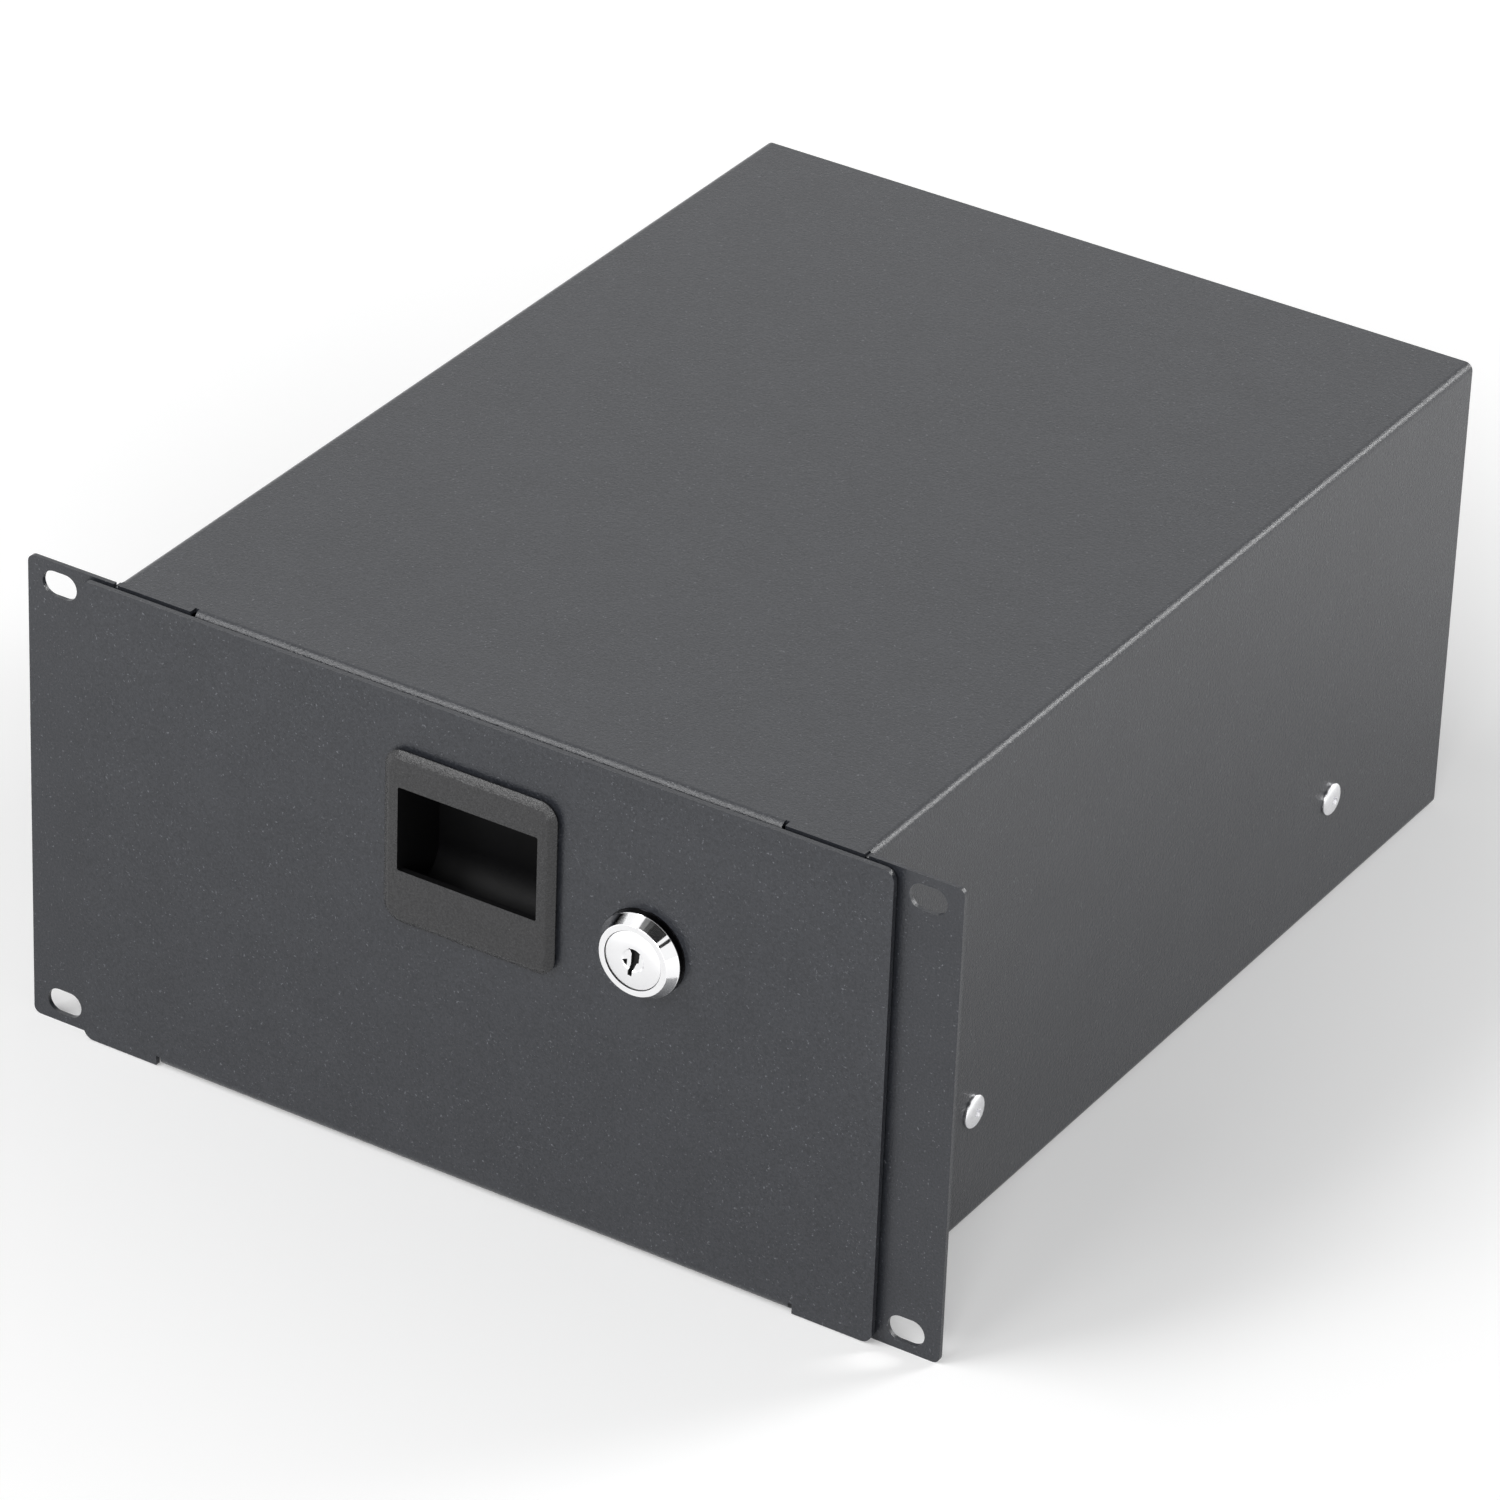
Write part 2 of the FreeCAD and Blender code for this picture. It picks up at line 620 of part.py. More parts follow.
def pull_outline(gap, y0, y1):
    """Outside of the pocket behind the plate, grown by gap."""
    top = mouth_top() + PULL_WALL
    bottom = mouth_bottom() - PULL_LIP_DROP - PULL_WALL
    width = PULL_MOUTH_WIDTH + 2 * PULL_WALL + 2 * gap
    return rounded_plate(width, top - bottom + 2 * gap, PULL_WALL, 0, (top + bottom) / 2, y0, y1)


def finger_pull():
    face = PLATE_FRONT - PULL_PROUD
    bezel = rounded_plate(PULL_WIDTH, PULL_HEIGHT, PULL_CORNER, 0, PULL_Z, face, PLATE_FRONT)
    rim = [e for e in bezel.Edges if e.BoundBox.YMax < face + NEAR]
    bezel = bezel.makeChamfer(PULL_CHAMFER, rim)
    back = face + PULL_DEPTH
    pocket = pull_outline(0, PLATE_FRONT - PULL_PROUD / 2, back + PULL_WALL)
    shape = bezel.fuse(pocket)
    mouth = box(-PULL_MOUTH_WIDTH / 2, PULL_MOUTH_WIDTH / 2, face - PULL_PROUD, back,
                mouth_bottom(), mouth_top())
    shape = shape.cut(mouth)
    # Behind the lower lip the pocket drops, with a round ramp up to its back wall.
    bottom = mouth_bottom() - PULL_LIP_DROP
    drop = box(-PULL_MOUTH_WIDTH / 2, PULL_MOUTH_WIDTH / 2, face + PULL_LIP, back, bottom, mouth_top())
    ramp = [e for e in drop.Edges
            if abs(e.CenterOfMass.y - back) < NEAR and e.CenterOfMass.z < bottom + NEAR]
    shape = shape.cut(drop.makeFillet(PULL_RAMP_RADIUS, ramp))
    outer = PULL_MOUTH_WIDTH / 2 + PULL_WALL
    lug_front = PLATE_BACK + PULL_GAP / 2
    for side in (-1, 1):
        points = [(side * outer, lug_front), (side * (outer + PULL_LUG), lug_front),
                  (side * outer, lug_front + PULL_LUG_LENGTH)]
        bottom = PULL_Z - PULL_LUG_HEIGHT / 2
        loop = Part.makePolygon([vec(x, y, bottom) for x, y in points + points[:1]])
        shape = shape.fuse(Part.Face(loop).extrude(vec(0, 0, PULL_LUG_HEIGHT)))
    return shape.removeSplitter()


# Cam lock

def lock_barrel(gap, y0, y1):
    """Threaded barrel with a flat on each side, grown by gap."""
    flats = LOCK_FLATS / 2 + gap
    reach = LOCK_THREAD
    block = box(LOCK_X - reach, LOCK_X + reach, y0, y1, LOCK_Z - flats, LOCK_Z + flats)
    return cylinder(LOCK_THREAD + 2 * gap, y0, y1, LOCK_X, LOCK_Z).common(block)


def lock_housing():
    face = PLATE_FRONT - LOCK_PROUD
    cone = Part.makeCone(LOCK_FACE / 2, LOCK_BASE / 2, LOCK_PROUD - LOCK_RIM,
                         vec(LOCK_X, face, LOCK_Z), vec(0, 1, 0))
    rim = cylinder(LOCK_BASE, PLATE_FRONT - LOCK_RIM, PLATE_FRONT, LOCK_X, LOCK_Z)
    housing = fuse([cone, rim, lock_barrel(0, face + PLUG_FACE_THICKNESS, BARREL_END)])
    bore = cylinder(PLUG_SHAFT + 2 * PLUG_GAP, face, BARREL_END, LOCK_X, LOCK_Z)
    seat = cylinder(PLUG_FACE + 2 * PLUG_GAP, face, plug_seat(), LOCK_X, LOCK_Z)
    return housing.cut([bore, seat])


def plug_seat():
    """Floor of the housing's counterbore, behind the plug's face."""
    return PLATE_FRONT - LOCK_PROUD + PLUG_RECESS + PLUG_FACE_THICKNESS + PLUG_GAP


def prism(corners, y0, y1):
    """Bar along the lock's axis with the outline of corners, in X and Z from that axis."""
    loop = [vec(LOCK_X + x, y0, LOCK_Z + z) for x, z in corners + corners[:1]]
    return Part.Face(Part.makePolygon(loop)).extrude(vec(0, y1 - y0, 0))


def hex_nut(across, thread, y0, thickness):
    """Hexagon nut on the lock's axis."""
    y1 = y0 + thickness
    reach = across / math.sqrt(3)
    turns = [math.radians(60 * i + 30) for i in range(6)]
    body = prism([(reach * math.cos(t), reach * math.sin(t)) for t in turns], y0, y1)
    return body.cut(cylinder(thread + 2 * PLUG_GAP, y0, y1, LOCK_X, LOCK_Z))


def lock_nut():
    return hex_nut(LOCK_NUT_ACROSS, LOCK_THREAD, PLATE_BACK, LOCK_NUT_THICKNESS)


def keyway(face):
    """Round recess with a stepped key slot and a small pocket, cut into the plug's face."""
    disc = cylinder(KEY_DISC, face, face + KEY_DISC_DEPTH, LOCK_X, LOCK_Z)
    slot = prism(KEYWAY, face, face + KEYWAY_DEPTH)
    pocket = prism(KEY_POCKET, face, face + KEY_POCKET_DEPTH)
    return fuse([disc, slot, pocket])


def plug_square(gap, y0, y1):
    """Square end of the plug, which turns the cam, grown by gap."""
    half = PLUG_SQUARE / 2 + gap
    return box(LOCK_X - half, LOCK_X + half, y0, y1, LOCK_Z - half, LOCK_Z + half)


def lock_plug():
    face = PLATE_FRONT - LOCK_PROUD + PLUG_RECESS
    stud_end = washer_back() + CAM_NUT_THICKNESS + STUD_STICK_OUT
    pieces = [cylinder(PLUG_FACE, face, face + PLUG_FACE_THICKNESS, LOCK_X, LOCK_Z),
              cylinder(PLUG_SHAFT, face, cam_front(), LOCK_X, LOCK_Z),
              plug_square(0, cam_front(), washer_back() - CAM_END_GAP),
              cylinder(STUD, cam_front(), stud_end, LOCK_X, LOCK_Z)]
    return fuse(pieces).cut(keyway(face))


def lock_cam():
    """Cranked cam that points to +X when unlocked, with its tip just behind the case's front flange."""
    half = CAM_THICKNESS / 2
    hub = cam_front() + half
    tip = CAM_CATCH_GAP + half
    low = LOCK_Z - CAM_WIDTH / 2
    path = [(LOCK_X, hub), (LOCK_X + CAM_CRANK_START, hub), (LOCK_X + CAM_CRANK_END, tip),
            (LOCK_X + CAM_REACH, tip)]
    arm = sheet_profile(path, CAM_THICKNESS, SHARP_BEND, in_xy(low)).extrude(vec(0, 0, CAM_WIDTH))
    disc = cylinder(CAM_HUB, cam_front(), cam_back(), LOCK_X, LOCK_Z)
    return fuse([arm, disc]).cut(plug_square(PLUG_GAP, cam_front(), cam_back()))


def cam_front():
    return BARREL_END + CAM_END_GAP


def cam_back():
    return cam_front() + CAM_THICKNESS


def washer_back():
    return cam_back() + WASHER_THICKNESS


def lock_cam_washer():
    """Washer with a square hole, which turns with the cam."""
    ring = cylinder(WASHER_DIAMETER, cam_back(), washer_back(), LOCK_X, LOCK_Z)
    return ring.cut(plug_square(PLUG_GAP, cam_back(), washer_back()))


def lock_cam_nut():
    return hex_nut(CAM_NUT_ACROSS, STUD, washer_back(), CAM_NUT_THICKNESS)


save("case_shell", case_shell())
save("rear_panel", rear_panel())
for side_name, side_sign in (("left", -1), ("right", 1)):
    save("slide_outer_" + side_name, slide_outer(side_sign))
    save("slide_middle_" + side_name, slide_middle(side_sign))
    save("slide_inner_" + side_name, slide_inner(side_sign))
    save("outer_retainer_" + side_name, outer_retainer(side_sign))
    save("inner_retainer_" + side_name, inner_retainer(side_sign))
    save("outer_balls_" + side_name, outer_balls(side_sign))
    save("inner_balls_" + side_name, inner_balls(side_sign))
    save("slide_bumper_" + side_name, slide_bumper(side_sign))
save("case_slide_screws", case_slide_screws())
save("tray_slide_screws", tray_slide_screws())
save("drawer_tray", drawer_tray())
save("finger_pull", finger_pull())
save("lock_housing", lock_housing())
save("lock_nut", lock_nut())
save("lock_plug", lock_plug())
save("lock_cam", lock_cam())
save("lock_cam_washer", lock_cam_washer())
save("lock_cam_nut", lock_cam_nut())
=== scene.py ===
import math

import bmesh
import bpy
from mathutils import Matrix, Vector


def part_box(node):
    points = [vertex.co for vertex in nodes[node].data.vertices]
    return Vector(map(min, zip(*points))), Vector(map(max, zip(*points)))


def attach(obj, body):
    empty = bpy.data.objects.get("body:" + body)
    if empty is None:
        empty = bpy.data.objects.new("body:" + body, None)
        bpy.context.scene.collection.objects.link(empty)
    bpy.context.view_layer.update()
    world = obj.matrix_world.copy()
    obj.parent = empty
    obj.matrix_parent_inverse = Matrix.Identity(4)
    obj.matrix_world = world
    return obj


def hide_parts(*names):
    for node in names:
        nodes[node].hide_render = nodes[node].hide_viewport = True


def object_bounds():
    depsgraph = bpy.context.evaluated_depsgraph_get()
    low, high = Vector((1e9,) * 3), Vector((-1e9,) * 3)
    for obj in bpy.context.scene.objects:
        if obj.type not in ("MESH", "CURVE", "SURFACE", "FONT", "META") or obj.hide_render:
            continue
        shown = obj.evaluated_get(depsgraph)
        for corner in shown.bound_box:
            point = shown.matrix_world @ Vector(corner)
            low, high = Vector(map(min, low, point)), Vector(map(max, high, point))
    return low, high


# Looks of the sliding rack drawer, in the CAD frame: the drawer opens along -Y, +Z is up. Objects
# are in metres. Sizes with names and outlines are in millimetres, unless their comment says so.

MM = 0.001

# Camera, at the photograph's viewing angle, in metres
CAMERA_PLACE = Vector((0.906679, -1.369625, 1.042310))
CAMERA_RIGHT = Vector((0.843391, 0.536273, 0.033211))
CAMERA_UP = Vector((-0.299886, 0.418538, 0.857260))
CAMERA_NEAR = 0.05
CAMERA_FAR = 50.0
SENSOR_WIDTH = 36.0
FOCAL_LENGTH = 194.122

# Finishes, as sRGB colours
PAINT = (42, 44, 49)
PAINT_LIGHT = (98, 100, 105)
PLASTIC = (51, 51, 52)
PLASTIC_LIGHT = (92, 92, 92)
# Painted shade: near-black for the inside of the pull's pocket and the undercut behind its bezel
POCKET_PAINTED_SHADE = (6, 6, 7)
# Painted reflection: dark grey metal on the lock head's rim, standing in for the shaded plate it
# reflects
RIM_PAINTED_REFLECTION = (26, 26, 28)
ZINC = (196, 199, 203)
SCREW_ZINC = (250, 250, 252)
CHROME = (250, 250, 251)
BALL_STEEL = (206, 208, 212)
DARK_STEEL = (150, 152, 155)
RUBBER = (22, 22, 23)
# Painted shade: near-black for the key slot, the head's bore and the plug's side behind its face
KEYWAY_PAINTED_SHADE = (8, 8, 9)
FLOOR_WHITE = 0.82

# Texture of the finishes: widths of grains, and how far the tone strays to either side
PAINT_GRAIN = 0.6
PAINT_GRAIN_SHARE = 0.85
PAINT_CLOUD = 14.0
PAINT_CLOUD_SHARE = 0.15
PAINT_SPECK = 0.7
PAINT_PEEL = 1.3
PAINT_DARKER = -7
PAINT_LIGHTER = 12
PLASTIC_GRAIN = 0.5
PLASTIC_SPECK = 0.7
PLASTIC_RELIEF = 0.8
PLASTIC_SPREAD = 9
DULL_GRAIN = 0.6
DULL_LIGHTER = 6
DULL_ROUGH_SPREAD = 0.1
PLATED = {"grain_size": 1.2, "depth": 0.004, "variation": 10}
POLISHED = {"grain_size": 3.0, "depth": 0.002, "variation": 4}

# Edges, as angles in degrees and rounding in millimetres
SHARP_ANGLE = 35.0
NEW_EDGE_ANGLE = 40.0
FLAT_ANGLE = 1.0
CASE_EDGE = 0.3
TRAY_EDGE = 0.4
LOCK_STEEL_EDGE = 0.15
PULL_EDGE = 0.18

# Screws: height and radius of the head, and how far from the middle its seat lies
SCREWS = {"case_slide_screws": (1.5, 4.4, 107.5), "tray_slide_screws": (2.0, 4.0, 92.1)}
HEAD_RIM = 0.45
HEAD_RIM_SEAT = 0.08
HEAD_SEAT_SHARE = 0.97
DOME_STEPS = 12
SHANK_RADIUS = 2.0
SHANK_LENGTH = 2.4
RECESS_TURNS = (25, 115)
RECESS_MOUTH = (1.9, 0.5)
RECESS_FOOT = (0.6, 0.25)
RECESS_DEPTH = 1.0
RECESS_CLEAR = 0.5

# Cam lock, along its axis from the front of its head
HEAD_PROFILE = [(0, 1.8), (7.95, 1.8), (7.95, 0.0), (8.05, 0.0), (9.4, 0.0), (9.46, 0.0),
                (9.56, 0.06), (9.62, 0.16), (9.66, 0.24), (11.22, 2.7), (11.26, 2.77),
                (11.36, 2.88), (11.4, 3.0), (11.4, 4.95), (11.48, 5.02), (11.5, 5.1), (11.5, 5.2)]
# Faces of the head's bore within this reach and depth take the painted shade
BORE_REACH = 7.97
BORE_END = 3.0
RING_REACH = 9.5
RING_END = 0.03
# Faces of the head beyond this reach and depth take the rim's painted dark reflection
RIM_REACH = 11.37
RIM_START = 3.0
THREAD = 9.3
THREAD_PITCH = 1.0
THREAD_DEPTH = 0.45
THREAD_START = 5.21
FLATS = 8.0
BARREL = 18.5
BARREL_BORE = 6.3
BARREL_BORE_DEPTH = 0.3
PLUG_PROFILE = [(0, 0), (7.7, 0), (7.78, 0.05), (7.82, 0.2), (7.82, 1.6), (6.25, 1.6), (6.25, 18.5)]
# The plug's side beyond this reach and behind this depth takes the painted shade
PLUG_EDGE_REACH = 7.7
PLUG_EDGE_START = 0.21
KEY_DISC = [(0, -0.5), (2.9, -0.5), (3.15, 0.0), (2.75, 0.3), (0, 0.3)]
KEY_SLOT = [(-1.3, 3.1), (0.5, 3.0), (1.7, 2.2), (1.5, -0.3), (0.9, -0.7), (0.0, -2.8),
            (-0.3, -4.5), (-1.4, -4.3), (-1.3, -3.1), (-0.7, -1.3), (-0.6, 1.7), (-0.8, 2.1)]
KEY_SLOT_DEPTH = 8.0
KEY_POCKET = [(-3.0, -0.7), (-1.7, -0.2), (-1.9, -2.4)]
KEY_POCKET_DEPTH = 1.4
KEY_CUT_START = -1.0
# Faces of the key slot within this reach and between these depths take the painted shade
KEY_SHADE_REACH = 5
KEY_SHADE_START = 0.32
KEY_SHADE_END = 8.1
STUD = 3.0
STUD_PITCH = 1.0
STUD_GROOVE = 0.3
STUD_TIP = 0.4
PLUG_SQUARE = 7.0
SQUARE_LEAD = 0.2
SQUARE_START = -0.5
SQUARE_END = 2.8

# Finger pull. BEZEL holds how far in and how far proud of the plate its edge stands.
BEZEL = [(1.6, 0.0), (1.5, 0.7), (0.12, 1.1), (0.0, 1.2), (0.0, 1.42), (0.1, 1.54), (1.75, 2.68),
         (1.95, 2.77), (2.2, 2.8)]
# Faces beside the mouth this far behind the plate's front take the pull's painted shade
BEZEL_UNDERCUT = 1.15
PULL_CORNER = 5.0
MOUTH = (40.0, 23.2)
MOUTH_BELOW_TOP = 9.5
MOUTH_CORNER = 0.5
MOUTH_CLEAR = 2
POCKET_DEPTH = 18.0
POCKET_LAP = 1.0
LIP = 1.8
LIP_DROP = 9.5
RAMP = 9.0
RAMP_STEPS = 12
WALL = 1.8
LUG = (1.2, 4.0, 12.0)
LUG_GAP = 0.15
TOUCH = 0.02

# Weld beads at the ears: their section, and how far it shrinks towards each end
SEAM_SIZE = (1.5, 3.4)
SEAM_CORNER = 0.5
SEAM_INSET = 0.6
SEAM_BELOW_TOP = 2.3
SEAM_STEPS = ((0.35, -0.85), (0.12, -0.7), (0.0, -0.4), (0.0, 1.25))

# Studio, in metres. A lamp has its offset from the object's middle, length, width, power and the
# direction of its length. A dark card has its two angles over the lock and its grey. FLOOR_FADE
# gives the floor's glow by the distance from its centre.
WORLD_LIGHT = 0.18
LAMPS = {
    "key": ((-0.15, -1.6, 1.3), 0.6, 0.6, 6.0, (1, 0, 0)),
    "front": ((0.78, -1.66, 0.66), 0.5, 0.5, 9.7, (1, 0, 0)),
    "top": ((-1.03, -1.20, 1.68), 2.2, 0.5, 30.0, (0, 0.81, 0.585)),
    "rim": ((1.04, 1.46, 0.90), 1.0, 0.35, 18.0, (0.58, 0, -0.67)),
}
CARDS = ((31.5, 39.0, 20), (47.0, 64.0, 16), (64.0, 81.0, 16), (81.0, 92.0, 70), (92.0, 104.0, 130))
CARD_REACH = 1.24
CARD_AHEAD = -0.42
CARD_HALF_WIDTH = 0.25
CARD_ROUGHNESS = 0.9
# The glow is weaker near the object's middle: painted shade on the floor around the object, also
# seen in its reflections
FLOOR_FADE = {"From Min": 0.10, "From Max": 1.30, "To Min": 0.17, "To Max": 0.95}
FLOOR_SIZE = 12.0


def linear(colour, shift=0):
    """Linear colour, with its alpha, of an sRGB colour from 0 to 255 and a shift of its tone."""
    values = [(c + shift) / 255 for c in colour]
    curve = [v / 12.92 if v <= 0.04045 else ((v + 0.055) / 1.055) ** 2.4 for v in values]
    return tuple(curve) + (1.0,)


class Shader:
    """A node material with a Principled shader, and short calls for the nodes it is built from."""

    def __init__(self, name):
        self.material = bpy.data.materials.new(name)
        self.material.use_nodes = True
        self.tree = self.material.node_tree
        self.surface = self.tree.nodes["Principled BSDF"]
        coordinates = self.tree.nodes.new("ShaderNodeTexCoord")
        self.place = self.node("ShaderNodeMapping", Vector=coordinates.outputs["Object"])
        self.place.inputs["Scale"].default_value = (1 / MM, 1 / MM, 1 / MM)

    def node(self, kind, **inputs):
        made = self.tree.nodes.new(kind)
        for name, value in inputs.items():
            self.put(made.inputs[name], value)
        return made

    def put(self, socket, value):
        if isinstance(value, bpy.types.NodeSocket):
            self.tree.links.new(value, socket)
        else:
            socket.default_value = value

    def set(self, **inputs):
        for name, value in inputs.items():
            self.put(self.surface.inputs[name.replace("_", " ")], value)

    def gloss(self, level):
        self.surface.inputs["Specular IOR Level"].default_value = level

    def noise(self, size, detail=2.0, roughness=0.5):
        """Noise from 0 to 1 with grains about that many millimetres wide."""
        made = self.node("ShaderNodeTexNoise", Vector=self.place.outputs["Vector"], Scale=1 / size,
                         Detail=detail, Roughness=roughness)
        return made.outputs["Fac"]

    def ramp(self, value, low, high, out_low=0.0, out_high=1.0):
        made = self.node("ShaderNodeMapRange")
        self.put(made.inputs["Value"], value)
        self.put(made.inputs["From Min"], low)
        self.put(made.inputs["From Max"], high)
        self.put(made.inputs["To Min"], out_low)
        self.put(made.inputs["To Max"], out_high)
        return made.outputs["Result"]

    def mix(self, share, first, second):
        made = self.tree.nodes.new("ShaderNodeMix")
        made.data_type = "RGBA"
        self.put(made.inputs[0], share)
        self.put(made.inputs[6], first)
        self.put(made.inputs[7], second)
        return made.outputs[2]

    def math(self, operation, first, second):
        made = self.tree.nodes.new("ShaderNodeMath")
        made.operation = operation
        self.put(made.inputs[0], first)
        self.put(made.inputs[1], second)
        return made.outputs[0]

    def bump(self, height, depth, strength=1.0, below=None):
        """Normal of a relief that many millimetres deep, over an earlier relief if there is one."""
        made = self.node("ShaderNodeBump", Height=height, Distance=depth * MM, Strength=strength)
        if below is not None:
            self.put(made.inputs["Normal"], below)
        return made.outputs["Normal"]


def powder_coat(name):
    """Fine textured charcoal powder coat with sparse lighter specks."""
    shader = Shader(name)
    grain = shader.noise(PAINT_GRAIN, 3.0, 0.6)
    cloud = shader.noise(PAINT_CLOUD, 2.0)
    tone = shader.math("ADD", shader.math("MULTIPLY", grain, PAINT_GRAIN_SHARE),
                       shader.math("MULTIPLY", cloud, PAINT_CLOUD_SHARE))
    base = shader.mix(shader.ramp(tone, 0.35, 0.65), linear(PAINT, PAINT_DARKER),
                      linear(PAINT, PAINT_LIGHTER))
    speck = shader.ramp(shader.noise(PAINT_SPECK, 2.0), 0.66, 0.76)
    shader.set(Base_Color=shader.mix(speck, base, linear(PAINT_LIGHT)))
    shader.set(Roughness=shader.ramp(grain, 0.3, 0.7, 0.33, 0.27))
    coarse = shader.bump(shader.noise(PAINT_PEEL, 2.0), 0.05, 0.8)
    shader.set(Normal=shader.bump(grain, 0.11, 1.0, coarse))
    shader.gloss(0.5)
    return shader.material


def moulded_plastic(name):
    """Grained black plastic with sparse lighter specks."""
    shader = Shader(name)
    grain = shader.noise(PLASTIC_GRAIN, 3.0, 0.6)
    share = shader.ramp(grain, 0.3, 0.7)
    base = shader.mix(share, linear(PLASTIC, -PLASTIC_SPREAD), linear(PLASTIC, PLASTIC_SPREAD))
    speck = shader.ramp(shader.noise(PLASTIC_SPECK, 2.0), 0.72, 0.78)
    shader.set(Base_Color=shader.mix(speck, base, linear(PLASTIC_LIGHT)))
    shader.set(Roughness=shader.ramp(grain, 0.3, 0.7, 0.20, 0.34))
    shader.set(Normal=shader.bump(shader.noise(PLASTIC_RELIEF, 3.0, 0.6), 0.22, 1.0))
    shader.gloss(0.36)
    return shader.material


def metal(name, colour, rough, rough_spread, surface=PLATED):
    """Plated or polished metal with a faint mottle."""
    shader = Shader(name)
    grain = shader.noise(surface["grain_size"], 3.0, 0.6)
    share = shader.ramp(grain, 0.3, 0.7)
    shader.set(Base_Color=shader.mix(share, linear(colour, -surface["variation"]), linear(colour)))
    shader.set(Roughness=shader.ramp(grain, 0.3, 0.7, rough, rough + rough_spread))
    shader.set(Normal=shader.bump(grain, surface["depth"], 0.5))
    shader.surface.inputs["Metallic"].default_value = 1.0
    return shader.material


def dull(name, colour, rough, gloss=0.5):
    """Plain smooth plastic, rubber or paint with a faint mottle."""
    shader = Shader(name)
    grain = shader.noise(DULL_GRAIN, 2.0)
    share = shader.ramp(grain, 0.3, 0.7)
    shader.set(Base_Color=shader.mix(share, linear(colour), linear(colour, DULL_LIGHTER)))
    shader.set(Roughness=shader.ramp(grain, 0.3, 0.7, rough, min(1.0, rough + DULL_ROUGH_SPREAD)))
    shader.gloss(gloss)
    return shader.material


def round_edges(piece, width, angle):
    """Rounds the edges of an object that bend by more than that many degrees."""
    bevel = piece.modifiers.new("edges", "BEVEL")
    bevel.width = width * MM
    bevel.segments = 2
    bevel.limit_method = "ANGLE"
    bevel.angle_limit = math.radians(angle)
    bevel.harden_normals = True


def finish_node(name, material, edge=0.0):
    """Gives a CAD node its material, and rounds its sharp edges by edge millimetres."""
    node = nodes[name]
    node.data.materials.clear()
    node.data.materials.append(material)
    node.data.polygons.foreach_set("material_index", [0] * len(node.data.polygons))
    if edge:
        flat = node.modifiers.new("flats", "DECIMATE")
        flat.decimate_type = "DISSOLVE"
        flat.angle_limit = math.radians(FLAT_ANGLE)
        round_edges(node, edge, SHARP_ANGLE)


def new_piece(name, data, materials, body, stands_for, edge=0.0, inside=None):
    """Object that rides on a body and stands for a CAD node, if it names one, from a mesh in the
    CAD frame. inside gives the number of the material that the face with a given middle takes."""
    data.materials.clear()
    for material in materials:
        data.materials.append(material)
    for face in data.polygons:
        face.material_index = int(inside(face.center)) if inside else 0
    data.shade_smooth()
    data.set_sharp_from_angle(angle=math.radians(SHARP_ANGLE))
    piece = bpy.data.objects.new(name, data)
    bpy.context.scene.collection.objects.link(piece)
    if edge:
        round_edges(piece, edge, NEW_EDGE_ANGLE)
    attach(piece, body)
    if stands_for:
        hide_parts(stands_for)
    return piece


def box_of(name):
    low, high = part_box(name)
    return Vector(low), Vector(high)


def turned(profile, origin, axis, segments=72):
    """Body of revolution, from (radius, distance along axis) pairs in millimetres that start and
    end on the axis."""
    body = bmesh.new()
    axis = Vector(axis)
    side = axis.orthogonal().normalized()
    other = axis.cross(side)
    rings = []
    for radius, along in profile:
        centre = Vector(origin) + axis * along * MM
        if radius == 0:
            rings.append([body.verts.new(centre)])
            continue
        ring = []
        for i in range(segments):
            turn = 2 * math.pi * i / segments
            arm = side * math.cos(turn) + other * math.sin(turn)
            ring.append(body.verts.new(centre + arm * radius * MM))
        rings.append(ring)
    for low, high in zip(rings, rings[1:]):
        for i in range(segments):
            j = (i + 1) % segments
            if len(low) == 1:
                body.faces.new((low[0], high[i], high[j]))
            elif len(high) == 1:
                body.faces.new((low[i], high[0], low[j]))
            else:
                body.faces.new((low[i], high[i], high[j], low[j]))
    bmesh.ops.recalc_face_normals(body, faces=body.faces)
    return body


def lofted(loops, place):
    """Closed body through outlines with as many points each, from (outline, distance) pairs. place
    turns (u, distance, v) in millimetres into a point."""
    body = bmesh.new()
    rings = [[body.verts.new(place(u, along, v)) for u, v in outline] for outline, along in loops]
    for low, high in zip(rings, rings[1:]):
        for i in range(len(low)):
            j = (i + 1) % len(low)
            body.faces.new((low[i], low[j], high[j], high[i]))
    body.faces.new(rings[0])
    body.faces.new(rings[-1])
    bmesh.ops.recalc_face_normals(body, faces=body.faces)
    return body


def bar(outline, start, end, place):
    """Straight bar between two distances, with an outline of (u, v) pairs."""
    return lofted([(outline, start), (outline, end)], place)


def rounded(width, height, radius, x, z, steps=10):
    """Outline of a rectangle with rounded corners, in millimetres."""
    points = []
    for sx, sz, start in ((1, 1, 0), (-1, 1, 90), (-1, -1, 180), (1, -1, 270)):
        for i in range(steps + 1):
            turn = math.radians(start + 90 * i / steps)
            points.append((x + sx * (width / 2 - radius) + radius * math.cos(turn),
                           z + sz * (height / 2 - radius) + radius * math.sin(turn)))
    return points


def as_mesh(body):
    data = bpy.data.meshes.new("body")
    body.to_mesh(data)
    body.free()
    return data


